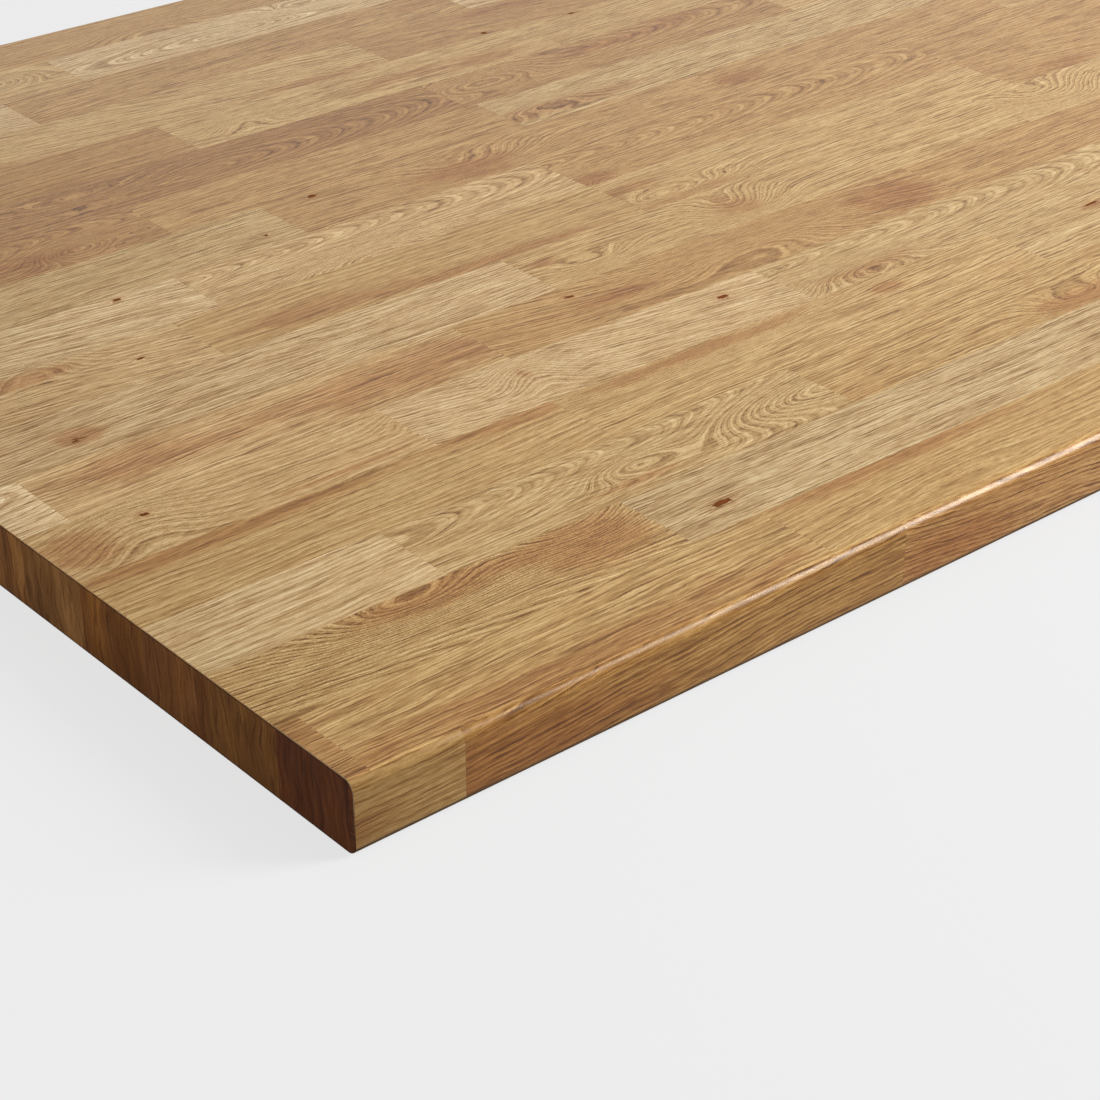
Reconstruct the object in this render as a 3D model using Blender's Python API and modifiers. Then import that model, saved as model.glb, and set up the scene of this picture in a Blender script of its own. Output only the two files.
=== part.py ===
"""Butcher block countertop: rows of solid oak staves glued edge to edge, with a thin edging along the front.

Metres, +Z up. X runs along the length, Y from the front edge to the back edge, and the origin is the
middle of the underside.
"""

import math

import bmesh
import bpy
from mathutils import Matrix, Vector

# Driving sizes of the finished slab
LENGTH = 2.000
DEPTH = 0.900
THICKNESS = 0.038

# Driving sizes of the glued pieces
STAVE_WIDTH = 0.053
FIRST_ROW_WIDTH = 0.0517
EDGING_THICKNESS = 0.0035
GLUE_LINE = 0.0003

# Routed front edge, and the eased arrises of the other edges
TOP_RADIUS = 0.006
BOTTOM_RADIUS = 0.0055
ARRIS = 0.0005

# Butt joint between two staves of a row, shown as a fine groove in the slab's faces
JOINT_WIDTH = 0.0003
JOINT_DEPTH = 0.0005

# Butt joints nearest the left end, measured from it, in the edging and in the rows from front to back
EDGING_JOINTS = (0.060, 0.336)
ROW_JOINTS = (
    (0.012, 0.290),
    (0.245,),
    (0.136, 0.413),
    (0.290,),
    (0.214, 0.490),
    (0.028, 0.307, 0.675),
    (0.387,),
    (0.191,),
    (0.226, 0.502),
    (0.325,),
    (0.262,),
    (0.118,),
    (0.352,),
    (0.204,),
    (0.296,),
    (0.085,),
    (0.243,),
)

# Past those joints each row goes on with staves of these lengths, and ends in one of at least the shortest
STAVE_LENGTHS = (0.368, 0.278, 0.415, 0.312, 0.345)
SHORTEST_LAST_STAVE = 0.090

# Facets of the rounded edges
ROUND_STEPS = 10
ARRIS_SEGMENTS = 2

SQUARE_ANGLE = math.radians(50)
FLAT_ANGLE = math.radians(0.5)

# How far a cutter reaches past what it cuts, and how near points are welded
OVERRUN = 0.010
WELD_DISTANCE = 0.00001

# Colours of the oak, from its palest staves to its reddest, and of the edging
OAK_TONES = {
    "pale_oak": (0.60, 0.42, 0.23),
    "honey_oak": (0.50, 0.32, 0.15),
    "red_oak": (0.44, 0.25, 0.12),
    "edging_oak": (0.34, 0.21, 0.09),
}
ROW_TONES = ("honey_oak", "pale_oak", "pale_oak", "honey_oak", "pale_oak", "red_oak", "honey_oak")
OAK_ROUGHNESS = 0.42


def clear_scene():
    for leftover in list(bpy.data.objects):
        bpy.data.objects.remove(leftover, do_unlink=True)


def new_collection(name):
    collection = bpy.data.collections.new(name)
    bpy.context.scene.collection.children.link(collection)
    return collection


def oak_material(name):
    material = bpy.data.materials.new(name)
    material.use_nodes = True
    shader = material.node_tree.nodes["Principled BSDF"]
    shader.inputs["Base Color"].default_value = (*OAK_TONES[name], 1.0)
    shader.inputs["Roughness"].default_value = OAK_ROUGHNESS
    shader.inputs["Metallic"].default_value = 0.0
    return material


def new_box(name, low, high, collection):
    """A box between two opposite corners, with its origin in its middle."""
    middle = [(a + b) / 2 for a, b in zip(low, high)]
    bpy.ops.mesh.primitive_cube_add(size=1.0, location=middle)
    box = bpy.context.object
    box.name = name
    box.scale = [b - a for a, b in zip(low, high)]
    bpy.ops.object.transform_apply(location=False, rotation=False, scale=True)
    move_to(box, collection)
    return box


def move_to(thing, collection):
    for holder in list(thing.users_collection):
        holder.objects.unlink(thing)
    collection.objects.link(thing)


def as_cutter(thing):
    thing.hide_render = True
    thing.display_type = "WIRE"
    return thing


def add_boolean(thing, name, operation, other):
    cut = thing.modifiers.new(name, "BOOLEAN")
    cut.operation = operation
    cut.solver = "EXACT"
    cut.object = other
    return cut


def slab_outline(inset):
    """The slab's section as (y, z) points: square at the back, rounded at the front, drawn inwards by inset."""
    front = -DEPTH / 2 + inset
    back = DEPTH / 2 - inset
    low = inset
    high = THICKNESS - inset
    bottom_radius = BOTTOM_RADIUS - inset
    top_radius = TOP_RADIUS - inset
    points = [(back, low), (back, high)]
    for step in range(ROUND_STEPS + 1):
        angle = math.pi / 2 * (1 + step / ROUND_STEPS)
        points.append(
            (front + top_radius * (1 + math.cos(angle)), high - top_radius * (1 - math.sin(angle)))
        )
    for step in range(ROUND_STEPS + 1):
        angle = math.pi * (1 + step / ROUND_STEPS / 2)
        points.append(
            (front + bottom_radius * (1 + math.cos(angle)), low + bottom_radius * (1 + math.sin(angle)))
        )
    return points


def extruded_outline(name, outline, length, collection):
    """A closed section in the YZ plane, extruded along X and made a mesh with its caps welded on."""
    curve = bpy.data.curves.new(name, "CURVE")
    curve.dimensions = "2D"
    curve.fill_mode = "BOTH"
    curve.extrude = length / 2
    spline = curve.splines.new("POLY")
    spline.points.add(len(outline) - 1)
    for point, (y, z) in zip(spline.points, outline):
        point.co = (y, z, 0.0, 1.0)
    spline.use_cyclic_u = True
    drawing = bpy.data.objects.new(name + "_drawing", curve)
    collection.objects.link(drawing)
    drawing.rotation_euler = (math.pi / 2, 0.0, math.pi / 2)
    bpy.context.view_layer.update()
    evaluated = drawing.evaluated_get(bpy.context.evaluated_depsgraph_get())
    mesh = bpy.data.meshes.new_from_object(evaluated)
    weld_caps(mesh)
    solid = bpy.data.objects.new(name, mesh)
    solid.matrix_world = drawing.matrix_world.copy()
    collection.objects.link(solid)
    bpy.data.objects.remove(drawing, do_unlink=True)
    return solid


def weld_caps(mesh):
    """Joins a filled curve's loose caps to its sides, and makes each cap one flat face."""
    shell = bmesh.new()
    shell.from_mesh(mesh)
    bmesh.ops.remove_doubles(shell, verts=shell.verts, dist=WELD_DISTANCE)
    bmesh.ops.dissolve_limit(shell, angle_limit=FLAT_ANGLE, verts=shell.verts, edges=shell.edges)
    shell.to_mesh(mesh)
    shell.free()


def ease_arrises(thing):
    """Rounds every edge that is still square, and shades the rounded faces smooth."""
    thing.data.shade_smooth()
    thing.data.set_sharp_from_angle(angle=SQUARE_ANGLE)
    bevel = thing.modifiers.new("eased_arris", "BEVEL")
    bevel.width = ARRIS
    bevel.segments = ARRIS_SEGMENTS
    bevel.limit_method = "ANGLE"
    bevel.angle_limit = SQUARE_ANGLE


def row_bounds():
    """Where each row starts and ends, in depth from the front: the last one is ripped to the slab's depth."""
    first_line = EDGING_THICKNESS + FIRST_ROW_WIDTH
    count = max(1, round((DEPTH - first_line) / STAVE_WIDTH))
    lines = [first_line + STAVE_WIDTH * row for row in range(count)]
    return list(zip([EDGING_THICKNESS] + lines, lines + [DEPTH]))


def joints_along(shown, turn):
    """The butt joints of one row, from its left end: the given ones, then one for each further stave."""
    last = LENGTH - SHORTEST_LAST_STAVE
    joints = [place for place in shown if place < last]
    place = joints[-1] + STAVE_LENGTHS[turn % len(STAVE_LENGTHS)]
    while place < last:
        joints.append(place)
        turn += 1
        place += STAVE_LENGTHS[turn % len(STAVE_LENGTHS)]
    return joints


def joint_cutter(name, joints, near, far, core, collection):
    """A plate across the slab at each joint, hollowed by the core so that it only scores the faces."""
    plates = bmesh.new()
    size = (JOINT_WIDTH, far - near, THICKNESS + 2 * OVERRUN)
    for place in joints:
        middle = Vector((place - LENGTH / 2, (near + far) / 2, THICKNESS / 2))
        matrix = Matrix.LocRotScale(middle, None, Vector(size))
        bmesh.ops.create_cube(plates, size=1.0, matrix=matrix)
    mesh = bpy.data.meshes.new(name)
    plates.to_mesh(mesh)
    plates.free()
    cutter = as_cutter(bpy.data.objects.new(name, mesh))
    collection.objects.link(cutter)
    add_boolean(cutter, "hollow", "DIFFERENCE", core)
    return cutter


def stave_row(name, near, far, joints, blank, core, parts, cutters):
    """One glued-up row between two depths: its box is cut to the slab's shape, then scored at its joints."""
    low = (-LENGTH / 2 - OVERRUN, near, -OVERRUN)
    high = (LENGTH / 2 + OVERRUN, far, THICKNESS + OVERRUN)
    row = new_box(name, low, high, parts)
    add_boolean(row, "slab_shape", "INTERSECT", blank)
    cutter = joint_cutter(name + "_joints", joints, near - JOINT_WIDTH, far + JOINT_WIDTH, core, cutters)
    add_boolean(row, "butt_joints", "DIFFERENCE", cutter)
    return row


def build_countertop():
    clear_scene()
    parts = new_collection("butcher_block_countertop")
    cutters = new_collection("cutters")
    slab = bpy.data.objects.new("slab_origin", None)
    parts.objects.link(slab)

    blank = as_cutter(extruded_outline("slab_blank", slab_outline(0.0), LENGTH, cutters))
    ease_arrises(blank)
    core_length = LENGTH + 2 * OVERRUN
    core = as_cutter(extruded_outline("slab_core", slab_outline(JOINT_DEPTH), core_length, cutters))

    front = -DEPTH / 2
    edging = stave_row(
        "front_edging",
        front - OVERRUN,
        front + EDGING_THICKNESS - GLUE_LINE / 2,
        joints_along(EDGING_JOINTS, 0),
        blank,
        core,
        parts,
        cutters,
    )
    edging.data.materials.append(oak_material("edging_oak"))
    edging.parent = slab

    bounds = row_bounds()
    for number, (start, end) in enumerate(bounds, start=1):
        last = number == len(bounds)
        row = stave_row(
            f"stave_row_{number:02d}",
            front + start + GLUE_LINE / 2,
            front + end + (OVERRUN if last else -GLUE_LINE / 2),
            joints_along(ROW_JOINTS[(number - 1) % len(ROW_JOINTS)], number),
            blank,
            core,
            parts,
            cutters,
        )
        row.data.materials.append(oak_material(ROW_TONES[(number - 1) % len(ROW_TONES)]))
        row.parent = slab


build_countertop()
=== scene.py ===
"""Looks of the butcher block countertop: staves of solid oak, each with its own tone and figure."""

import math
import random
from collections import namedtuple

import bmesh
import bpy
from mathutils import Euler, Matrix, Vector


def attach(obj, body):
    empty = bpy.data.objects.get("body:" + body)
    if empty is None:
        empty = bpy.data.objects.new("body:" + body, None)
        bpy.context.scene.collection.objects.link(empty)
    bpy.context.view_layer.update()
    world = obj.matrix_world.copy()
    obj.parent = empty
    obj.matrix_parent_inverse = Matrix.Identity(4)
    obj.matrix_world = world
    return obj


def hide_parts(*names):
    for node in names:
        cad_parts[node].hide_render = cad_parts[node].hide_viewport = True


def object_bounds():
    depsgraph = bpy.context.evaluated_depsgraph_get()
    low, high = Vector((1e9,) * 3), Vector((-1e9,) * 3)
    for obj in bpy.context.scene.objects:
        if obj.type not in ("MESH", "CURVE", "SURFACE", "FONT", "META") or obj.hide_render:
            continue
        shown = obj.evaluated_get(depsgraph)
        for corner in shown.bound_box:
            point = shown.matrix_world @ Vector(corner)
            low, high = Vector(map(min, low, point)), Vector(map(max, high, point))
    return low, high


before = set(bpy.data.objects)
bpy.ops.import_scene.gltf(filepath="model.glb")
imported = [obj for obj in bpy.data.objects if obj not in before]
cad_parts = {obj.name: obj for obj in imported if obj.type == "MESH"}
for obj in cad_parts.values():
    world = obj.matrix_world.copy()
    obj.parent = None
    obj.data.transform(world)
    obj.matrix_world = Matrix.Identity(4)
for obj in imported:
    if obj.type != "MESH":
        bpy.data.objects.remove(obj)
CAD_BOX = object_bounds()

# The slab, in metres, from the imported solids
SLAB_LOW, SLAB_HIGH = CAD_BOX
LENGTH = SLAB_HIGH.x - SLAB_LOW.x
DEPTH = SLAB_HIGH.y - SLAB_LOW.y
THICKNESS = SLAB_HIGH.z - SLAB_LOW.z
MM = 0.001

# How the slab is made up, as the solids are, with slightly sharper arrises
STAVE_WIDTH = 0.053
FIRST_ROW_WIDTH = 0.0517
EDGING_THICKNESS = 0.0035
TOP_RADIUS = 0.006
BOTTOM_RADIUS = 0.0055
ARRIS = 0.0004

# Butt joints nearest the left end, measured from it, in the edging and in the rows from front to back
EDGING_JOINTS = (0.060, 0.336)
ROW_JOINTS = (
    (0.012, 0.290),
    (0.245,),
    (0.136, 0.413),
    (0.290,),
    (0.214, 0.490),
    (0.028, 0.307, 0.675),
    (0.387,),
    (0.191,),
    (0.226, 0.502),
    (0.325,),
    (0.262,),
    (0.118,),
    (0.352,),
    (0.204,),
    (0.296,),
    (0.085,),
    (0.243,),
)
STAVE_LENGTHS = (0.368, 0.278, 0.415, 0.312, 0.345)
SHORTEST_LAST_STAVE = 0.090

# Each glued face stands this far back from the glue line
CLEARANCE = 0.00002

# Steps of the rounded edges, and the angle above which an edge stays sharp
ROUND_STEPS = 10
ARRIS_STEPS = 3
SHARP_ANGLE = math.radians(30)

# The dark rim just inside the end's arris, a painted shade line
RIM_WIDTH = 0.0009

# Camera of the photograph: where it stands from the slab's bottom front left corner, and how it looks
CAMERA_OFFSET = Vector((-0.515077, -0.730869, 0.666681))
CAMERA_TURN = Euler((math.radians(59.892), 0.0, math.radians(-40.430)))
CAMERA_LENS_MM = 85.65
SENSOR_MM = 36.0

# Oak tones, from the palest to the darkest, then those of the edging
TONES = {
    "straw": (0.722, 0.508, 0.263),
    "cream": (0.647, 0.436, 0.207),
    "pale": (0.617, 0.406, 0.187),
    "sand": (0.598, 0.379, 0.158),
    "gold": (0.554, 0.373, 0.172),
    "wheat": (0.554, 0.356, 0.144),
    "honey": (0.562, 0.348, 0.131),
    "amber": (0.532, 0.323, 0.116),
    "tan": (0.497, 0.277, 0.092),
    "russet": (0.456, 0.244, 0.078),
    "chestnut": (0.438, 0.224, 0.070),
    "cocoa": (0.380, 0.183, 0.051),
    "umber": (0.359, 0.188, 0.068),
    "edge_olive": (0.365, 0.204, 0.066),
    "edge_brown": (0.365, 0.184, 0.049),
    "edge_russet": (0.407, 0.207, 0.065),
}

# Oiled end grain at the slab's two ends, by row from the front
SAWN_TONES = (
    (0.185, 0.053, 0.013),
    (0.375, 0.152, 0.035),
    (0.352, 0.130, 0.032),
    (0.410, 0.152, 0.030),
    (0.480, 0.210, 0.060),
    (0.455, 0.182, 0.047),
)

# How a stave was sawn: sideways offset and depth of the log's pith in mm, slope and taper of the grain
# along the stave, width of a growth ring in mm, and how strongly fibres, flecks and rings show
Cut = namedtuple("Cut", "offset depth slope taper ring fibre fleck rings")
CUTS = {
    "quarter": Cut(95.0, 20.0, 0.010, 0.00, 2.0, 1.00, 0.10, 0.80),
    "rift": Cut(-70.0, 30.0, -0.020, 0.02, 2.4, 0.90, 0.20, 0.90),
    "plain": Cut(14.0, 26.0, 0.015, 0.10, 2.2, 0.70, 0.30, 1.00),
    "cathedral": Cut(-4.0, 9.0, -0.010, 0.13, 2.4, 0.50, 0.30, 1.30),
    "diagonal": Cut(60.0, 25.0, 0.160, 0.05, 2.6, 0.90, 0.20, 0.90),
    "smooth": Cut(120.0, 30.0, -0.025, 0.00, 4.5, 0.50, 0.20, 0.80),
    "curly": Cut(-30.0, 24.0, 0.020, 0.06, 2.8, 0.50, 0.50, 1.50),
    "rising": Cut(60.0, 20.0, -0.060, 0.00, 2.6, 0.80, 0.20, 1.30),
    "falling": Cut(60.0, 20.0, 0.080, 0.00, 2.6, 0.80, 0.20, 1.30),
}

# A mark on a stave: its middle and half sizes, in mm, and its strength. Places are measured from the slab's
# lower left front corner, and y is the depth, or the height on the edging. A swirl's strength is in mm too,
# and a stain's or a knot's is a share.
Mark = namedtuple("Mark", "x y across deep strength")
NO_MARK = Mark(-9000.0, -9000.0, 10.0, 10.0, 0.0)

Look = namedtuple("Look", "tone cut swirls stains knot", defaults=((), (), NO_MARK))

# Looks of the staves that the photograph shows, by row (0 is the edging) and place from the left end
LOOKS = {
    (0, 0): Look("edge_olive", "smooth", (), (Mark(4, 14, 40, 14, 0.5),)),
    (0, 1): Look("edge_brown", "rising", (), (Mark(95, 12, 108, 26, 0.88),)),
    (0, 2): Look("edge_russet", "falling", (), (Mark(375, 12, 60, 18, 0.8),)),
    (1, 0): Look("chestnut", "quarter"),
    (1, 1): Look("amber", "rift", (), (Mark(140, 12, 220, 17, 0.75),)),
    (1, 2): Look("amber", "smooth", (Mark(400, 24, 60, 12, 9),), (Mark(370, 52, 110, 9, 0.9),)),
    (2, 0): Look(
        "honey",
        "curly",
        (Mark(112, 98, 60, 18, 28.6), Mark(212, 110, 38, 26, 27)),
        (Mark(120, 99, 54, 12, 1.1), Mark(210, 88, 36, 24, 1.1)),
    ),
    (2, 1): Look("gold", "quarter", (), (Mark(430, 62, 200, 5, 0.4),), Mark(284, 75, 7.5, 2.6, 1.0)),
    (3, 0): Look("cream", "smooth"),
    (3, 1): Look(
        "wheat",
        "plain",
        (Mark(276, 133, 30, 11, 13), Mark(412, 134, 75, 17, 26)),
        (Mark(262, 119, 42, 4, 0.8),),
    ),
    (3, 2): Look(
        "amber",
        "rift",
        (Mark(612, 118, 46, 16, 20),),
        (Mark(610, 118, 42, 13, 1.0), Mark(430, 117, 50, 20, 0.4)),
    ),
    (4, 0): Look(
        "honey",
        "smooth",
        (Mark(150, 216, 120, 9, 7),),
        (Mark(60, 209, 120, 9, 1.0), Mark(262, 214, 60, 12, 1.0)),
    ),
    (4, 1): Look(
        "honey",
        "rift",
        (Mark(390, 218, 100, 20, 26),),
        (Mark(385, 208, 90, 8, 0.9), Mark(535, 199, 16, 7, 1.0)),
    ),
    (4, 2): Look("wheat", "rift", (), (Mark(722, 200, 16, 6, 1.0),), Mark(722, 203, 8.0, 2.4, 0.8)),
    (5, 0): Look(
        "sand",
        "smooth",
        (Mark(48, 243, 36, 27, 21), Mark(225, 250, 20, 14, 12)),
        (Mark(18, 240, 25, 24, 1.0), Mark(165, 222, 50, 4, 0.8)),
        Mark(59, 250, 3.6, 2.0, 0.8),
    ),
    (5, 1): Look(
        "pale",
        "diagonal",
        (Mark(306, 249, 26, 26, 20),),
        (Mark(301, 250, 6, 14, 0.7),),
        Mark(452, 251, 4.5, 2.2, 1.0),
    ),
    (5, 2): Look(
        "wheat",
        "plain",
        (Mark(545, 228, 52, 16, 22),),
        (Mark(550, 224, 60, 16, 0.6),),
    ),
    (6, 0): Look("straw", "plain"),
    (6, 1): Look("sand", "rift", (), (Mark(250, 292, 100, 24, 1.0), Mark(80, 300, 60, 22, 0.8))),
    (6, 2): Look(
        "tan",
        "diagonal",
        (Mark(520, 292, 70, 24, 26),),
        (Mark(640, 292, 40, 24, 1.0), Mark(400, 292, 70, 10, 0.7)),
        Mark(384, 308, 5.0, 2.5, 0.70),
    ),
    (6, 3): Look("tan", "rift"),
    (7, 0): Look(
        "pale",
        "rift",
        (Mark(250, 350, 60, 12, 7),),
        (Mark(80, 341, 14, 9, 1.4), Mark(30, 350, 50, 9, 0.4)),
        Mark(76, 340, 8.0, 6.0, 0.54),
    ),
    (7, 1): Look(
        "honey",
        "rift",
        (Mark(552, 343, 34, 24, 26), Mark(430, 338, 40, 14, 16)),
        (Mark(552, 344, 26, 20, 0.8), Mark(405, 356, 16, 8, 0.8)),
    ),
    (8, 0): Look(
        "sand",
        "diagonal",
        (Mark(100, 426, 36, 18, 20),),
        (Mark(84, 416, 30, 6, 2.2),),
        Mark(152, 399, 4.0, 2.4, 0.55),
    ),
    (8, 1): Look(
        "amber",
        "smooth",
        (Mark(400, 374, 90, 12, 16),),
        (Mark(260, 390, 75, 15, 0.8), Mark(400, 378, 90, 6, 1.0)),
    ),
    (9, 0): Look("cream", "diagonal", (), (), Mark(184, 473, 3.5, 1.8, 1.0)),
    (9, 1): Look("sand", "plain", (Mark(345, 430, 60, 18, 22),), (Mark(340, 430, 50, 8, 0.3),)),
    (9, 2): Look("tan", "plain", (Mark(517, 432, 26, 18, 24),), (Mark(512, 432, 20, 12, 1.0),)),
    (10, 0): Look("wheat", "rift", (), (), Mark(303, 494, 2.5, 1.6, 0.6)),
    (10, 1): Look(
        "tan",
        "rift",
        (Mark(470, 502, 60, 20, 22),),
        (Mark(465, 500, 45, 20, 0.9),),
        Mark(361, 526, 5.0, 3.0, 0.8),
    ),
    (11, 0): Look(
        "chestnut",
        "plain",
        (Mark(205, 552, 26, 13, 22), Mark(252, 552, 22, 9, 10)),
        (Mark(170, 550, 40, 14, 0.8),),
    ),
    (11, 1): Look("tan", "rift"),
    (12, 0): Look("umber", "rift"),
    (12, 1): Look("cocoa", "cathedral", (Mark(250, 614, 70, 16, 20),)),
    (13, 0): Look("russet", "smooth"),
}

# Tones and cuts of the other staves, each as often as it shows
COMMON_TONES = "cream pale pale sand wheat wheat honey honey amber amber tan tan russet chestnut".split()
COMMON_CUTS = "quarter rift rift plain plain cathedral diagonal smooth rising".split()

# Half sizes in mm and strength of the marks on the other staves, and how often there is one
COMMON_SWIRL = (50, 16, 24)
COMMON_STAIN = (55, 12, 0.9)
COMMON_KNOT = (5.0, 2.4, 0.9)
SWIRL_CHANCE = 0.55
STAIN_CHANCE = 0.50
KNOT_CHANCE = 0.22
SEED = 12
SEED_SPREAD = 40.0

# Bake map: shelves that a row is folded into, the share of the map above them for caps, the width of a cap
# of the slab's end, the gaps between parts and how much the glued sides are squeezed
ROW_SHELVES = 4
EDGING_SHELVES = 6
CAP_BAND = 0.13
END_CELL = 0.21
END_CELL_GAP = 0.01
MAP_GAP = 0.006
HIDDEN_SHARE = 0.08

# Material slots of every piece
OAK_SLOT = 0
END_GRAIN_SLOT = 1

# What the corners of one stave share: its look, seed, middle in mm, end grain tone and whether it faces up
Stave = namedtuple("Stave", "look seed middle sawn face_up")


def on_round(radius, inset, angle, upper):
    """A point of the routed front edge as (depth, height), with the outline drawn in by inset.

    The angle is measured up or down from the front face.
    """
    depth = radius - (radius - inset) * math.cos(angle)
    rise = (radius - inset) * math.sin(angle)
    height = THICKNESS - radius + rise if upper else radius - rise
    return depth, height


def seam_angle(radius, inset, seam):
    """Where on the rounded edge the glue line with the edging comes out."""
    return math.acos((radius - seam) / (radius - inset))


def spaced(start, end, steps):
    return [start + (end - start) * step / steps for step in range(steps + 1)]


def edging_section(inset):
    """The edging's section as (depth, height) points, from its lower glued edge round the front."""
    seam = EDGING_THICKNESS - CLEARANCE
    points = []
    for upper, radius in ((False, BOTTOM_RADIUS), (True, TOP_RADIUS)):
        last = seam_angle(radius, inset, seam)
        run = [on_round(radius, inset, angle, upper) for angle in spaced(0.0, last, ROUND_STEPS)]
        points += run if upper else run[::-1]
    return points


def row_section(near, far, inset):
    """A row's section as (depth, height) points, from its lower near edge round its far side."""
    near += CLEARANCE
    lower, upper = [], []
    for run, rounded, flat, sign in (
        (lower, BOTTOM_RADIUS, inset, 1),
        (upper, TOP_RADIUS, THICKNESS - inset, -1),
    ):
        if near < rounded:
            first = seam_angle(rounded, inset, near)
            angles = spaced(first, math.pi / 2, ROUND_STEPS)
            run += [on_round(rounded, inset, angle, sign < 0) for angle in angles]
            run.append((rounded + ARRIS, flat))
        else:
            run.append((near, flat))
        if far < DEPTH:
            run.append((far - CLEARANCE, flat))
        else:
            run.append((DEPTH - 2 * ARRIS, flat))
            for angle in spaced(math.pi / 2, 0.0, ARRIS_STEPS):
                across = (ARRIS - inset) * math.cos(angle)
                rise = (ARRIS - inset) * math.sin(angle)
                run.append((DEPTH - ARRIS + across, flat + sign * (ARRIS - inset - rise)))
    return lower + upper[::-1]


def rings_along(start, end, shelf):
    """Where a stave's section is repeated, as (place, inset): at its ends and where the map folds."""
    slab_end = [
        (ARRIS * (1 - math.cos(angle)), ARRIS * (1 - math.sin(angle)))
        for angle in spaced(0.0, math.pi / 2, ARRIS_STEPS)
    ]
    joint_end = [(CLEARANCE, 0.0)]
    first = [(start + x, inset) for x, inset in (slab_end if start <= 0.0 else joint_end)]
    last = [(end - x, inset) for x, inset in (slab_end if end >= LENGTH else joint_end)]
    folds = []
    fold = math.ceil(first[-1][0] / shelf + 0.001) * shelf
    while fold < last[-1][0] - ARRIS:
        folds.append((fold, 0.0))
        fold += shelf
    return first + folds + last[::-1]


def is_glued(point, after):
    """Whether this side of a section stands upright inside the slab, against its neighbour."""
    upright = abs(point[0] - after[0]) < 1e-9 and abs(point[1] - after[1]) > THICKNESS / 2
    return upright and point[0] < DEPTH - ARRIS / 2


def glued_sides(section, face_up):
    """The glued sides of a row's section, or the edging's one, by the number of their first point."""
    count = len(section)
    if not face_up:
        return {count - 1}
    return {index for index in range(count) if is_glued(section[index], section[(index + 1) % count])}


def unrolled(section, glued):
    """Each point's place along a section's outline, as a share of it, with the glued sides squeezed."""
    lengths = []
    for index, point in enumerate(section):
        after = section[(index + 1) % len(section)]
        share = HIDDEN_SHARE if index in glued else 1.0
        lengths.append(share * math.dist(point, after))
    whole = sum(lengths)
    places = [0.0]
    for length in lengths:
        places.append(places[-1] + length / whole)
    return places


class PieceMesh:
    """Collects a piece's staves: corners, faces, bake map and what each corner tells the materials."""

    FIELDS = "grain log growth texture tone swirl_a swirl_b stain_a stain_b knot edge sawn".split()

    def __init__(self, name):
        self.name = name
        self.points = []
        self.faces = []
        self.uvs = []
        self.slots = []
        self.fields = {field: [] for field in self.FIELDS}

    def add_corner(self, stave, x, depth, height, edge):
        """A corner of a stave, placed from the slab's lower left front corner."""
        self.points.append((SLAB_LOW.x + x, SLAB_LOW.y + depth, SLAB_LOW.z + height))
        told = tell(stave, x / MM, depth / MM, height / MM, edge)
        for field in self.FIELDS:
            self.fields[field].append(told[field])
        return len(self.points) - 1

    def add_face(self, corners, uvs, slot):
        self.faces.append(corners)
        self.uvs.append(uvs)
        self.slots.append(slot)

    def finish(self, materials):
        """Makes the object, closes and turns its faces outwards, and shades its roundings smooth."""
        mesh = bpy.data.meshes.new(self.name)
        mesh.from_pydata(self.points, [], self.faces)
        for material in materials:
            mesh.materials.append(material)
        bake_map = mesh.uv_layers.new(name="OFBake")
        bake_map.data.foreach_set("uv", [value for face in self.uvs for uv in face for value in uv])
        mesh.polygons.foreach_set("material_index", self.slots)
        for field, values in self.fields.items():
            attribute = mesh.attributes.new(field, "FLOAT_VECTOR", "POINT")
            attribute.data.foreach_set("vector", [part for value in values for part in value])
        shell = bmesh.new()
        shell.from_mesh(mesh)
        bmesh.ops.remove_doubles(shell, verts=shell.verts, dist=1e-6)
        bmesh.ops.recalc_face_normals(shell, faces=shell.faces)
        shell.to_mesh(mesh)
        shell.free()
        mesh.shade_smooth()
        mesh.set_sharp_from_angle(angle=SHARP_ANGLE)
        piece = bpy.data.objects.new(self.name, mesh)
        bpy.context.scene.collection.objects.link(piece)
        return piece


def mark_field(mark, x, y):
    return ((x - mark.x) / mark.across, (y - mark.y) / mark.deep, mark.strength)


def edge_field(x, inset, depth, height):
    """How much a point belongs to the end's rim, which gets a painted shade line, to the lower edges, which
    get painted shade, and to the upper arris at the ends, which gets a painted highlight.
    """
    from_end = min(x, LENGTH - x)
    at_end = inset > 0.0 and from_end < ARRIS
    rim = 1.0 if from_end < 1e-9 else 0.0
    under = height < THICKNESS / 2
    # Lower edges to be darkened by painted shade: the front's lower rounding and the lower arrises at the
    # ends
    low = 1.0 - height / BOTTOM_RADIUS if under and depth <= BOTTOM_RADIUS else 0.0
    # The third share marks the upper arris at the ends for a painted highlight
    return (rim, max(low, float(at_end and under)), float(at_end and not under))


def tell(stave, x, depth, height, edge):
    """What a corner tells the materials. x, depth and height are in mm from the lower left front corner."""
    look = stave.look
    cut = CUTS[look.cut]
    side = depth if stave.face_up else height
    inside = THICKNESS / MM - height if stave.face_up else depth
    swirls = (*look.swirls, NO_MARK, NO_MARK)
    stains = (*look.stains, NO_MARK, NO_MARK)
    return {
        "grain": (x - stave.middle[0], side - stave.middle[1], inside),
        "log": (cut.offset, cut.depth, cut.slope),
        "growth": (cut.ring, cut.taper, stave.seed),
        "texture": (cut.fibre, cut.fleck, cut.rings),
        "tone": TONES[look.tone],
        "swirl_a": mark_field(swirls[0], x, side),
        "swirl_b": mark_field(swirls[1], x, side),
        "stain_a": mark_field(stains[0], x, side),
        "stain_b": mark_field(stains[1], x, side),
        "knot": mark_field(look.knot, x, side),
        "edge": edge,
        "sawn": stave.sawn,
    }


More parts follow.
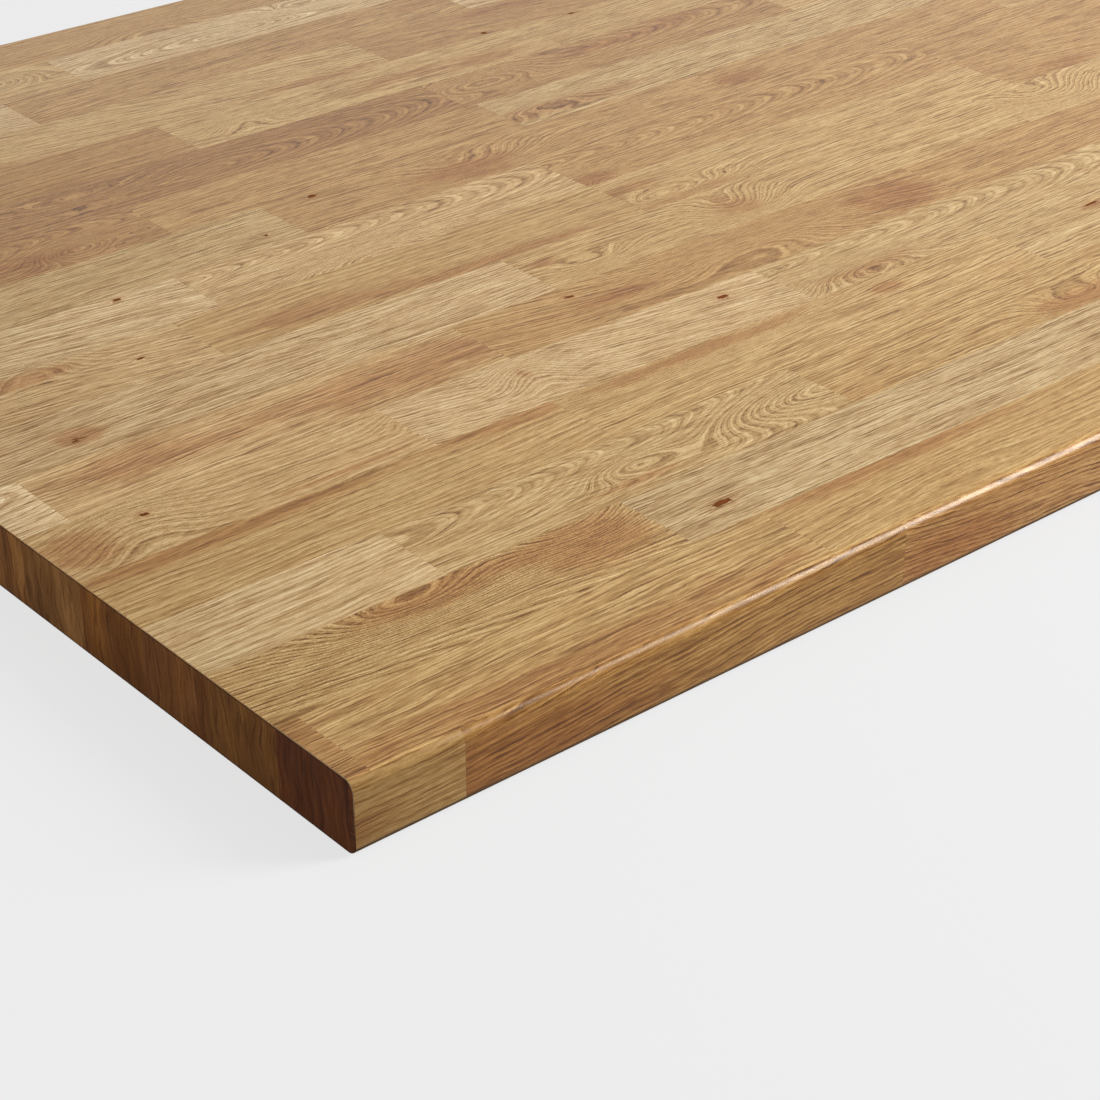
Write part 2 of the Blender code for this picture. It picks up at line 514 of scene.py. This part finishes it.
def stave_middle(section, start, end, face_up):
    """The middle of a stave in mm, along it and across its section's points."""
    across = sum(depth if face_up else height for depth, height in section) / len(section)
    return ((start + end) / 2 / MM, across / MM)


def add_stave(mesh, section_at, start, end, stave, shelves, cells):
    """Adds one stave between two butt joints: its section repeated along it, and a cap at each end."""
    rings = rings_along(start, end, LENGTH / shelves)
    corners = []
    for x, inset in rings:
        ring = []
        for depth, height in section_at(inset):
            ring.append(mesh.add_corner(stave, x, depth, height, edge_field(x, inset, depth, height)))
        corners.append(ring)
    flat = section_at(0.0)
    add_sides(mesh, rings, corners, unrolled(flat, glued_sides(flat, stave.face_up)), shelves)
    for ring, (x, inset), outer in (
        (corners[0], rings[0], start <= 0.0),
        (corners[-1], rings[-1], end >= LENGTH),
    ):
        section = section_at(inset)
        if outer:
            add_end_cap(mesh, section, x, cells["end"].pop(), stave)
        else:
            mesh.add_face(tuple(ring), cap_map(section, cells["joint"].pop()), OAK_SLOT)


def add_sides(mesh, rings, corners, places, shelves):
    """A stave's outside between its rings, laid out on the shelves of the bake map."""
    shelf = LENGTH / shelves
    shelf_height = (1.0 - CAP_BAND) / shelves
    count = len(places) - 1
    for (x0, inset0), (x1, inset1), near, far in zip(rings, rings[1:], corners, corners[1:]):
        number = min(int((x0 + x1) / 2 / shelf), shelves - 1)
        u0, u1 = (MAP_GAP + (x / shelf - number) * (1 - 2 * MAP_GAP) for x in (x0, x1))
        low = number * shelf_height + MAP_GAP / 2
        high = (number + 1) * shelf_height - MAP_GAP / 2
        slot = END_GRAIN_SLOT if max(inset0, inset1) > 0.0 else OAK_SLOT
        for step in range(count):
            after = (step + 1) % count
            v0 = low + (high - low) * places[step]
            v1 = low + (high - low) * places[step + 1]
            mesh.add_face(
                (near[step], far[step], far[after], near[after]),
                ((u0, v0), (u1, v0), (u1, v1), (u0, v1)),
                slot,
            )


def cap_map(section, cell):
    """A cap's corners laid out in a cell of the bake map, given as (left, low, width, height)."""
    depths = [depth for depth, _ in section]
    heights = [height for _, height in section]
    wide = max(depths) - min(depths)
    tall = max(heights) - min(heights)
    left, low, width, height = cell
    return tuple(
        (left + width * (across - min(depths)) / wide, low + height * (up - min(heights)) / tall)
        for across, up in section
    )


def add_end_cap(mesh, section, x, cell, stave):
    """The slab's sawn end on one stave: a rim in two steps, darkened as a painted shade line, then the end
    grain inside it.
    """
    heights = [height for _, height in section]
    middle = (min(heights) + max(heights)) / 2
    layout = cap_map(section, cell)
    map_middle = cell[1] + cell[3] / 2
    rings = []
    layouts = []
    for width, rim in ((0.0, 1.0), (RIM_WIDTH / 3, 1.0), (RIM_WIDTH, 0.0)):
        inward = width / (THICKNESS / 2)
        ring = []
        for depth, height in section:
            height += (middle - height) * inward
            ring.append(mesh.add_corner(stave, x, depth, height, (rim, 0.0, 0.0)))
        rings.append(ring)
        layouts.append([(u, v + (map_middle - v) * inward) for u, v in layout])
    count = len(section)
    for outer, inner, outer_layout, inner_layout in zip(rings, rings[1:], layouts, layouts[1:]):
        for step in range(count):
            after = (step + 1) % count
            mesh.add_face(
                (outer[step], outer[after], inner[after], inner[step]),
                (outer_layout[step], outer_layout[after], inner_layout[after], inner_layout[step]),
                END_GRAIN_SLOT,
            )
    mesh.add_face(tuple(rings[-1]), tuple(layouts[-1]), END_GRAIN_SLOT)


def map_cells(joints):
    """Cells for a piece's caps, above its shelves: two for the slab's ends and the rest for its joints."""
    low = 1.0 - CAP_BAND + MAP_GAP
    height = CAP_BAND - 2 * MAP_GAP
    step = END_CELL + END_CELL_GAP
    ends = [(MAP_GAP + step * index, low, END_CELL, height) for index in range(2)]
    first = MAP_GAP + 2 * step
    width = (1.0 - first) / (2 * joints)
    joint_cells = [(first + width * index, low, width - MAP_GAP, height) for index in range(2 * joints)]
    return {"end": ends, "joint": joint_cells}


def row_bounds():
    """Where each row starts and ends, in depth from the front, as in the solids."""
    first_line = EDGING_THICKNESS + FIRST_ROW_WIDTH
    count = max(1, round((DEPTH - first_line) / STAVE_WIDTH))
    lines = [first_line + STAVE_WIDTH * row for row in range(count)]
    return list(zip([EDGING_THICKNESS] + lines, lines + [DEPTH]))


def joints_along(shown, turn):
    """The butt joints of one row, from its left end: the given ones, then one for each further stave."""
    last = LENGTH - SHORTEST_LAST_STAVE
    joints = [place for place in shown if place < last]
    place = joints[-1] + STAVE_LENGTHS[turn % len(STAVE_LENGTHS)]
    while place < last:
        joints.append(place)
        turn += 1
        place += STAVE_LENGTHS[turn % len(STAVE_LENGTHS)]
    return joints


def chance_look(chance, start, end, near, far):
    """A look for a stave that the photograph doesn't show, with marks anywhere on it. Sizes are in mm."""

    def mark(across, deep, strength):
        return Mark(
            chance.uniform(start, end),
            chance.uniform(near, far),
            across * chance.uniform(0.7, 1.4),
            deep * chance.uniform(0.7, 1.3),
            strength * chance.uniform(0.6, 1.1),
        )

    swirls = tuple(mark(*COMMON_SWIRL) for _ in range(2) if chance.random() < SWIRL_CHANCE)
    stains = tuple(mark(*COMMON_STAIN) for _ in range(2) if chance.random() < STAIN_CHANCE)
    knot = mark(*COMMON_KNOT) if chance.random() < KNOT_CHANCE else NO_MARK
    return Look(chance.choice(COMMON_TONES), chance.choice(COMMON_CUTS), swirls, stains, knot)


def build_row(name, number, section_at, joints, near, far, shelves, materials):
    """One row of staves between two depths, or the edging, number 0, between two heights."""
    chance = random.Random(SEED + number)
    mesh = PieceMesh(name)
    cells = map_cells(len(joints))
    face_up = number > 0
    sawn = SAWN_TONES[max(number - 1, 0) % len(SAWN_TONES)]
    ends = [0.0, *joints, LENGTH]
    for index, (start, end) in enumerate(zip(ends, ends[1:])):
        found = chance_look(chance, start / MM, end / MM, near / MM, far / MM)
        look = LOOKS.get((number, index), found)
        seed = chance.uniform(0.0, SEED_SPREAD)
        middle = stave_middle(section_at(0.0), start, end, face_up)
        stave = Stave(look, seed, middle, sawn, face_up)
        add_stave(mesh, section_at, start, end, stave, shelves, cells)
    return mesh.finish(materials)


class Graph:
    """Adds and links the shader nodes of one material, or of the world."""

    def __init__(self, owner, shader="Principled BSDF"):
        owner.use_nodes = True
        self.tree = owner.node_tree
        self.shader = self.tree.nodes[shader]

    def add(self, kind, values=(), **settings):
        node = self.tree.nodes.new("ShaderNode" + kind)
        for setting, value in settings.items():
            setattr(node, setting, value)
        for socket, value in zip(node.inputs, values):
            self.feed(socket, value)
        return node

    def feed(self, socket, value):
        if isinstance(value, bpy.types.NodeSocket):
            self.tree.links.new(value, socket)
        else:
            socket.default_value = value

    def field(self, name):
        return self.add("Attribute", attribute_name=name).outputs["Vector"]

    def split(self, vector):
        return self.add("SeparateXYZ", (vector,)).outputs[:]

    def join(self, x, y, z):
        return self.add("CombineXYZ", (x, y, z)).outputs[0]

    def math(self, operation, *values):
        return self.add("Math", values, operation=operation).outputs[0]

    def total(self, first, *others):
        for other in others:
            first = self.math("ADD", first, other)
        return first

    def product(self, first, *others):
        for other in others:
            first = self.math("MULTIPLY", first, other)
        return first

    def scaled(self, vector, scales):
        return self.add("VectorMath", (vector, scales), operation="MULTIPLY").outputs[0]

    def shifted(self, vector, by):
        return self.add("VectorMath", (vector, by), operation="ADD").outputs[0]

    def noise(self, place, detail, roughness=0.5):
        node = self.add("TexNoise")
        self.feed(node.inputs["Vector"], place)
        node.inputs["Scale"].default_value = 1.0
        node.inputs["Detail"].default_value = detail
        node.inputs["Roughness"].default_value = roughness
        return node.outputs["Fac"]

    def off_middle(self, noise):
        """A noise's distance from its own middle, so that it adds no shade of its own."""
        return self.math("SUBTRACT", noise, 0.5)

    def level(self, value, low, high, to_low=0.0, to_high=1.0):
        """A smooth step of value between two levels."""
        node = self.add("MapRange", interpolation_type="SMOOTHSTEP")
        for socket, number in zip(node.inputs, (value, low, high, to_low, to_high)):
            self.feed(socket, number)
        return node.outputs[0]

    def pulse(self, value, rise, fall):
        """A smooth step up between two levels of value, and down again between two others."""
        return self.product(self.level(value, *rise), self.level(value, *fall, 1.0, 0.0))

    def mix(self, share, first, second, blend="MIX"):
        node = self.add("Mix", data_type="RGBA", blend_type=blend)
        self.feed(node.inputs[0], share)
        self.feed(node.inputs[6], first)
        self.feed(node.inputs[7], second)
        return node.outputs[2]

    def hued(self, hue, amount):
        """A hue's red, green and blue logarithms, times an amount."""
        node = self.add("VectorMath", (hue,), operation="SCALE")
        self.feed(node.inputs["Scale"], amount)
        return node.outputs[0]

    def shaded(self, colour, logarithms):
        """A colour with each channel multiplied by the exponential of its logarithm."""
        factor = self.join(*(self.math("EXPONENT", part) for part in self.split(logarithms)))
        return self.mix(1.0, colour, factor, "MULTIPLY")

    def bell(self, mark):
        """A mark's strength times a bell curve round its middle."""
        x, y, strength = self.split(mark)
        square = self.total(self.product(x, x), self.product(y, y))
        return self.product(self.math("EXPONENT", self.product(square, -1.0)), strength)


# Scales of the noises in the wood, along, across and through a stave, for each mm
WANDER_SCALE = (0.008, 0.020, 0.020)
RIPPLE_SCALE = (0.040, 0.090, 0.090)
SHIVER_SCALE = (0.17, 0.34, 0.34)
DASH_SCALE = (0.16, 0.90, 0.90)
FLECK_SCALE = (0.90, 1.25, 1.25)
BREAK_SCALE = (0.060, 0.70, 0.70)
CLOUD_SCALE = (0.028, 0.085, 0.085)

# Scales of the long grain, across a stave, along it and from one stave to the next
FIBRE_SCALE = (1.22, 0.78, 1.0)
BAND_SCALE = (0.12, 0.35, 1.0)
LINE_SCALE = (0.92, 0.50, 3.0)
LONG_GRAIN = 0.035

# How far the grain strays sideways, in mm, and how far apart in the wood's noises the staves lie
WANDER_BEND = 12.0
RIPPLE_BEND = 2.8
SHIVER_BEND = 1.0
DRIFT = (311.0, 173.0, 97.0)

# How uneven the rings are, and when in a year its early and its late wood come and go
UNEVEN_SCALE = 0.45
UNEVEN_WIDTH = 1.6
EARLY_RISE = (0.0, 0.10)
EARLY_FALL = (0.12, 0.42)
LATE_RISE = (0.45, 0.75)
LATE_FALL = (0.80, 1.00)

# Finer lines between the rings: how many to a ring, where they start, and when they come and go
BETWEEN_COUNT = 2.7
BETWEEN_START = 0.37
BETWEEN_RISE = (0.0, 0.20)
BETWEEN_FALL = (0.22, 0.60)

# How far a knot bends the rings round it, and how far the long grain follows what bends the rings
KNOT_SWIRL = 5.0
FIBRE_SWIRL = 0.5

# How much each part of the grain darkens the wood, as a logarithm of its red
FIBRE_DEPTH = 0.42
DASH_DEPTH = 0.16
FLECK_DEPTH = 0.30
LINE_DEPTH = 0.56
BAND_DEPTH = 0.14
RING_DEPTH = 0.72
BETWEEN_DEPTH = 0.42
LATE_DEPTH = 0.16
CLOUD_DEPTH = 0.22
STAIN_DEPTH = 0.25
HALO_DEPTH = 0.12

# How far green and blue go with red as the grain shades it, and as a stain or a cloud does
SHADE_HUE = (1.0, 1.35, 1.95)
PATCH_HUE = (1.0, 1.95, 2.90)
SAWN_HUE = (1.0, 1.20, 1.45)
KNOT_COLOUR = (0.185, 0.042, 0.001, 1.0)
KNOT_EDGE_COLOUR = (0.135, 0.034, 0.001, 1.0)
# Painted shade on the lower rounded edges and a painted highlight on the upper arris at the slab's ends:
# their colours, and how much of each is laid over the wood
LOW_EDGE_SHADE_COLOUR = (0.060, 0.028, 0.010, 1.0)
ARRIS_HIGHLIGHT_COLOUR = (0.820, 0.560, 0.290, 1.0)
LOW_EDGE_SHADE_SHARE = 0.88
ARRIS_HIGHLIGHT_SHARE = 0.75

# How rough, glossy and deeply grained the oiled faces are, and how rough they are at knots and lower edges
OAK_ROUGHNESS = 0.28
OAK_GLOSS = 0.27
OAK_RELIEF = (0.1, 0.00010)
OIL_TINT = (1.0, 0.92, 0.80, 1.0)
MATT_ROUGHNESS = 0.6

# End grain: scales of its noises across it, up it and from one stave to the next, and how much each darkens
SWAY_SCALE = 0.05
SWAY_BEND = 9.0
LEAN = 0.06
STREAK_SCALE = (0.55, 0.030, 1.0)
SAWN_BAND_SCALE = (0.075, 0.012, 0.7)
SAWN_LINE_SCALE = (0.42, 0.045, 1.9)
SPECK_SCALE = (1.6, 0.55, 0.4)
STREAK_DEPTH = 1.5
SAWN_BAND_DEPTH = 1.8
SAWN_LINE_DEPTH = 0.45
SPECK_DEPTH = 0.5
# How dark the painted shade line along the end's rim is
RIM_SHADE_DEPTH = 1.0
SAWN_ROUGHNESS = 0.64
SAWN_GLOSS = 0.10
SAWN_RELIEF = (0.5, 0.00015)


def grain_bend(graph, place):
    """How far the grain strays sideways: in long wanders, in ripples and in a fine shiver, also given."""
    wander = graph.off_middle(graph.noise(graph.scaled(place, WANDER_SCALE), 1.0))
    ripple = graph.off_middle(graph.noise(graph.scaled(place, RIPPLE_SCALE), 2.0))
    shiver = graph.off_middle(graph.noise(graph.scaled(place, SHIVER_SCALE), 2.0, 0.6))
    bend = graph.total(
        graph.product(wander, WANDER_BEND),
        graph.product(ripple, RIPPLE_BEND),
        graph.product(shiver, SHIVER_BEND),
    )
    return bend, shiver


def growth_rings(graph, radius, ring, seed):
    """Rings of uneven width and vigour: dark early wood, pale late wood and the finer lines between."""
    aged = graph.math("DIVIDE", radius, ring)
    uneven = graph.noise(graph.join(graph.product(aged, UNEVEN_SCALE), seed, 0.0), 1.0)
    aged = graph.total(aged, graph.product(uneven, UNEVEN_WIDTH))
    season = graph.math("FRACT", aged)
    vigour = graph.add("TexWhiteNoise", noise_dimensions="2D")
    graph.feed(vigour.inputs["Vector"], graph.join(graph.math("FLOOR", aged), seed, 0.0))
    early = graph.pulse(season, EARLY_RISE, EARLY_FALL)
    early = graph.product(early, graph.level(vigour.outputs["Value"], -0.2, 1.0, 0.1, 1.0))
    late = graph.pulse(season, LATE_RISE, LATE_FALL)
    between = graph.math("FRACT", graph.total(graph.product(aged, BETWEEN_COUNT), BETWEEN_START))
    return early, late, graph.pulse(between, BETWEEN_RISE, BETWEEN_FALL)


def long_grain(graph, across, along, seed):
    """Open fibres, broad bands and the darkest lines, all along the grain."""
    fibred = graph.join(across, graph.product(along, LONG_GRAIN), seed)
    fibres = graph.level(graph.noise(graph.scaled(fibred, FIBRE_SCALE), 0.5), 0.34, 0.54, -0.65, 0.35)
    bands = graph.off_middle(graph.noise(graph.scaled(fibred, BAND_SCALE), 1.0))
    lines = graph.level(graph.noise(graph.scaled(fibred, LINE_SCALE), 0.0), 0.56, 0.63)
    return fibres, bands, lines


def short_grain(graph, place):
    """Short dashes, flecks, and how whole the lines and rings are."""
    dashes = graph.level(graph.noise(graph.scaled(place, DASH_SCALE), 0.5), 0.33, 0.57, -0.6, 0.4)
    flecks = graph.level(graph.noise(graph.scaled(place, FLECK_SCALE), 0.0), 0.34, 0.60, -0.6, 0.4)
    whole = graph.level(graph.noise(graph.scaled(place, BREAK_SCALE), 1.0), 0.38, 0.56, 1.0, 0.35)
    return dashes, flecks, whole


def knot_parts(graph, knot, dashes, shiver):
    """A knot's torn outline, its heart and the halo round it."""
    torn = graph.total(knot, graph.product(dashes, -0.14), graph.product(shiver, 0.9))
    outline = graph.level(torn, 0.42, 0.56)
    heart = graph.level(torn, 0.62, 0.82)
    halo = graph.level(graph.bell(graph.scaled(graph.field("knot"), (0.45, 0.40, 1.0))), 0.2, 0.9)
    return outline, heart, halo


def finish_surface(graph, colour, roughness, gloss, height, relief):
    """Gives a material its colour, roughness and gloss, and a relief of a strength and a depth."""
    graph.feed(graph.shader.inputs["Base Color"], colour)
    graph.feed(graph.shader.inputs["Roughness"], roughness)
    graph.shader.inputs["Specular IOR Level"].default_value = gloss
    bump = graph.add("Bump")
    bump.inputs["Strength"].default_value = relief[0]
    bump.inputs["Distance"].default_value = relief[1]
    graph.feed(bump.inputs["Height"], height)
    graph.feed(graph.shader.inputs["Normal"], bump.outputs[0])


def oak_material(name):
    """Oiled solid oak: growth rings round each stave's own pith, open grain along them, knots, stains."""
    material = bpy.data.materials.new(name)
    graph = Graph(material)
    along, across, inside = graph.split(graph.field("grain"))
    offset, depth, slope = graph.split(graph.field("log"))
    ring, taper, seed = graph.split(graph.field("growth"))
    fibre_share, fleck_share, ring_share = graph.split(graph.field("texture"))
    knot = graph.bell(graph.field("knot"))

    # Where in its log each point of the stave was, sideways of the pith and below it
    drift = graph.join(*(graph.product(seed, step) for step in DRIFT))
    place = graph.shifted(graph.field("grain"), drift)
    bend, shiver = grain_bend(graph, place)
    side = graph.total(across, graph.product(offset, -1.0), graph.product(along, slope), bend)
    below = graph.total(inside, depth, graph.product(along, taper))
    radius = graph.math("SQRT", graph.total(graph.product(side, side), graph.product(below, below)))
    swirl = graph.total(
        graph.bell(graph.field("swirl_a")),
        graph.bell(graph.field("swirl_b")),
        graph.product(knot, KNOT_SWIRL),
    )
    early, late, between = growth_rings(graph, graph.total(radius, swirl), ring, seed)
    followed = graph.total(side, graph.product(swirl, FIBRE_SWIRL))
    fibres, bands, lines = long_grain(graph, followed, along, seed)
    dashes, flecks, whole = short_grain(graph, place)

    # Where the grain swirls, rings and flecks stand out and the straight fibres fade
    figured = graph.level(swirl, 2.0, 9.0)
    fibre_share = graph.product(fibre_share, graph.total(graph.product(figured, -0.75), 1.0))
    fleck_share = graph.total(graph.product(figured, 0.40), fleck_share)
    ring_share = graph.total(graph.product(figured, 0.30), ring_share)

    # Broad changes of colour, stains and knots
    cloud = graph.off_middle(graph.noise(graph.scaled(place, CLOUD_SCALE), 3.0, 0.6))
    stain = graph.total(graph.bell(graph.field("stain_a")), graph.bell(graph.field("stain_b")))
    stain = graph.level(graph.total(stain, graph.product(cloud, 1.5)), 0.25, 0.85)
    outline, heart, halo = knot_parts(graph, knot, dashes, shiver)

    # Shade and patch are logarithms: shade turns the wood browner as it darkens it, and patch redder
    shade = graph.total(
        graph.product(fibres, fibre_share, FIBRE_DEPTH),
        graph.product(dashes, DASH_DEPTH),
        graph.product(flecks, fleck_share, FLECK_DEPTH),
        graph.product(lines, whole, fibre_share, -LINE_DEPTH),
        graph.product(bands, BAND_DEPTH),
        graph.product(early, whole, ring_share, -RING_DEPTH),
        graph.product(between, whole, ring_share, -BETWEEN_DEPTH),
        graph.product(late, ring_share, LATE_DEPTH),
    )
    patch = graph.total(
        graph.product(cloud, CLOUD_DEPTH),
        graph.product(stain, -STAIN_DEPTH),
        graph.product(halo, -HALO_DEPTH),
    )
    both = graph.shifted(graph.hued(SHADE_HUE, shade), graph.hued(PATCH_HUE, patch))
    colour = graph.shaded(graph.field("tone"), both)
    colour = graph.mix(outline, colour, KNOT_EDGE_COLOUR)
    colour = graph.mix(heart, colour, KNOT_COLOUR)
    # Painted shade: the lower rounded edges are darkened towards a dark brown, standing in for the shade
    # under them
    low = graph.level(graph.split(graph.field("edge"))[1], 0.0, 0.45)
    colour = graph.mix(graph.product(low, LOW_EDGE_SHADE_SHARE), colour, LOW_EDGE_SHADE_COLOUR)

    matt = graph.product(graph.math("MAXIMUM", low, outline), MATT_ROUGHNESS)
    roughness = graph.total(graph.product(dashes, -0.05), matt, OAK_ROUGHNESS)
    finish_surface(graph, colour, roughness, OAK_GLOSS, dashes, OAK_RELIEF)
    graph.shader.inputs["Specular Tint"].default_value = OIL_TINT
    return material


def end_grain_material(name):
    """The sawn end: oil soaks into the open fibres, so it is dark and matt, with upright streaks."""
    material = bpy.data.materials.new(name)
    graph = Graph(material)
    _, across, down = graph.split(graph.field("grain"))
    _, _, seed = graph.split(graph.field("growth"))
    rim, low, arris_highlight = graph.split(graph.field("edge"))
    swaying = graph.join(graph.product(across, SWAY_SCALE), graph.product(down, SWAY_SCALE), seed)
    sway = graph.off_middle(graph.noise(swaying, 1.0))
    leaning = graph.total(across, graph.product(down, LEAN), graph.product(sway, SWAY_BEND))
    place = graph.join(leaning, down, graph.product(seed, 7.0))
    streaks = graph.off_middle(graph.noise(graph.scaled(place, STREAK_SCALE), 3.0, 0.7))
    bands = graph.off_middle(graph.noise(graph.scaled(place, SAWN_BAND_SCALE), 1.0))
    lines = graph.level(graph.noise(graph.scaled(place, SAWN_LINE_SCALE), 0.0), 0.60, 0.68)
    specks = graph.off_middle(graph.noise(graph.scaled(place, SPECK_SCALE), 1.0))
    shade = graph.total(
        graph.product(streaks, STREAK_DEPTH),
        graph.product(bands, SAWN_BAND_DEPTH),
        graph.product(lines, -SAWN_LINE_DEPTH),
        graph.product(specks, SPECK_DEPTH),
        # painted shade line along the end's rim
        graph.product(rim, -RIM_SHADE_DEPTH),
    )
    colour = graph.shaded(graph.field("sawn"), graph.hued(SAWN_HUE, shade))
    # Painted shade on the lower arrises at the end
    colour = graph.mix(graph.product(low, LOW_EDGE_SHADE_SHARE), colour, LOW_EDGE_SHADE_COLOUR)
    # Painted highlight on the upper arris at the slab's ends, kept off the rim
    arris = graph.product(arris_highlight, graph.total(graph.product(rim, -1.0), 1.0))
    colour = graph.mix(graph.product(arris, ARRIS_HIGHLIGHT_SHARE), colour, ARRIS_HIGHLIGHT_COLOUR)
    roughness = graph.total(graph.product(streaks, -0.3), SAWN_ROUGHNESS)
    finish_surface(graph, colour, roughness, SAWN_GLOSS, streaks, SAWN_RELIEF)
    return material


def build_countertop():
    """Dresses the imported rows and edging, each with a piece of its own staves."""
    end_grain = end_grain_material("oak_end_grain")
    stave_materials = (oak_material("stave_oak"), end_grain)
    edging_materials = (oak_material("edging_oak"), end_grain)
    edging = build_row(
        "oak_edging",
        0,
        edging_section,
        joints_along(EDGING_JOINTS, 0),
        0.0,
        THICKNESS,
        EDGING_SHELVES,
        edging_materials,
    )
    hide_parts("front_edging")
    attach(edging, "root")
    for number, (near, far) in enumerate(row_bounds(), start=1):
        row = build_row(
            f"oak_row_{number:02d}",
            number,
            lambda inset, near=near, far=far: row_section(near, far, inset),
            joints_along(ROW_JOINTS[(number - 1) % len(ROW_JOINTS)], number),
            near,
            far,
            ROW_SHELVES,
            stave_materials,
        )
        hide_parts(f"stave_row_{number:02d}")
        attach(row, "root")


# Stage: a pale floor just below the slab, pale air, one soft lamp overhead and, as the key light, a softbox
# before the front edge
FLOOR_SIZE = 60.0
FLOOR_GAP = 0.0002
FLOOR_COLOUR = (0.13, 0.13, 0.13, 1.0)
FLOOR_GLOW = (0.73, 0.73, 0.73, 1.0)
FLOOR_BOUNCE = (0.34, 0.33, 0.32, 1.0)
FLOOR_ROUGHNESS = 0.9
NO_GLOW = (0.0, 0.0, 0.0, 1.0)
AIR_COLOUR = (0.86, 0.86, 0.86, 1.0)
AIR_LIGHT = (0.257, 0.257, 0.257, 1.0)
Lamp = namedtuple("Lamp", "name place aim width height power")
LAMPS = (
    Lamp("overhead", (1.7, 1.5, 5.4), (-0.3, 0.0, 0.0), 3.4, 3.4, 35.0),
    Lamp("softbox", (1.83, -2.12, 1.81), (-0.55, -0.45, 0.03), 1.2, 2.0, 176.0),
)


def seen_mix(graph, seen, unseen):
    """One colour where it is seen, straight, mirrored or through glass, and another as light."""
    path = graph.add("LightPath")
    straight = graph.math("MAXIMUM", path.outputs["Is Camera Ray"], path.outputs["Is Glossy Ray"])
    share = graph.math("MAXIMUM", straight, path.outputs["Is Transmission Ray"])
    return graph.mix(share, unseen, seen)


def build_floor():
    bpy.ops.mesh.primitive_plane_add(size=FLOOR_SIZE, location=(0.0, 0.0, SLAB_LOW.z - FLOOR_GAP))
    floor = bpy.context.object
    floor.name = "floor"
    material = bpy.data.materials.new("floor_paint")
    graph = Graph(material)
    graph.feed(graph.shader.inputs["Base Color"], seen_mix(graph, FLOOR_COLOUR, FLOOR_BOUNCE))
    graph.feed(graph.shader.inputs["Emission Color"], seen_mix(graph, FLOOR_GLOW, NO_GLOW))
    graph.shader.inputs["Emission Strength"].default_value = 1.0
    graph.shader.inputs["Roughness"].default_value = FLOOR_ROUGHNESS
    graph.shader.inputs["Specular IOR Level"].default_value = 0.0
    floor.data.materials.append(material)


def build_air():
    world = bpy.data.worlds.new("studio_air")
    graph = Graph(world, "Background")
    graph.feed(graph.shader.inputs["Color"], seen_mix(graph, AIR_COLOUR, AIR_LIGHT))
    bpy.context.scene.world = world


def build_lamps():
    for lamp in LAMPS:
        light = bpy.data.lights.new(lamp.name, "AREA")
        light.shape = "RECTANGLE"
        light.size = lamp.width
        light.size_y = lamp.height
        light.energy = lamp.power
        holder = bpy.data.objects.new(lamp.name, light)
        holder.location = lamp.place
        gaze = Vector(lamp.aim) - Vector(lamp.place)
        holder.rotation_euler = gaze.to_track_quat("-Z", "Y").to_euler()
        bpy.context.scene.collection.objects.link(holder)


def build_camera():
    camera = bpy.data.cameras.new("photo_camera")
    camera.lens = CAMERA_LENS_MM
    camera.sensor_width = SENSOR_MM
    camera.clip_start = 0.05
    camera.clip_end = 200.0
    holder = bpy.data.objects.new("photo_camera", camera)
    holder.location = SLAB_LOW + CAMERA_OFFSET
    holder.rotation_euler = CAMERA_TURN
    bpy.context.scene.collection.objects.link(holder)
    bpy.context.scene.camera = holder


build_countertop()
build_floor()
build_air()
build_lamps()
build_camera()
bpy.context.scene.view_settings.view_transform = "Standard"
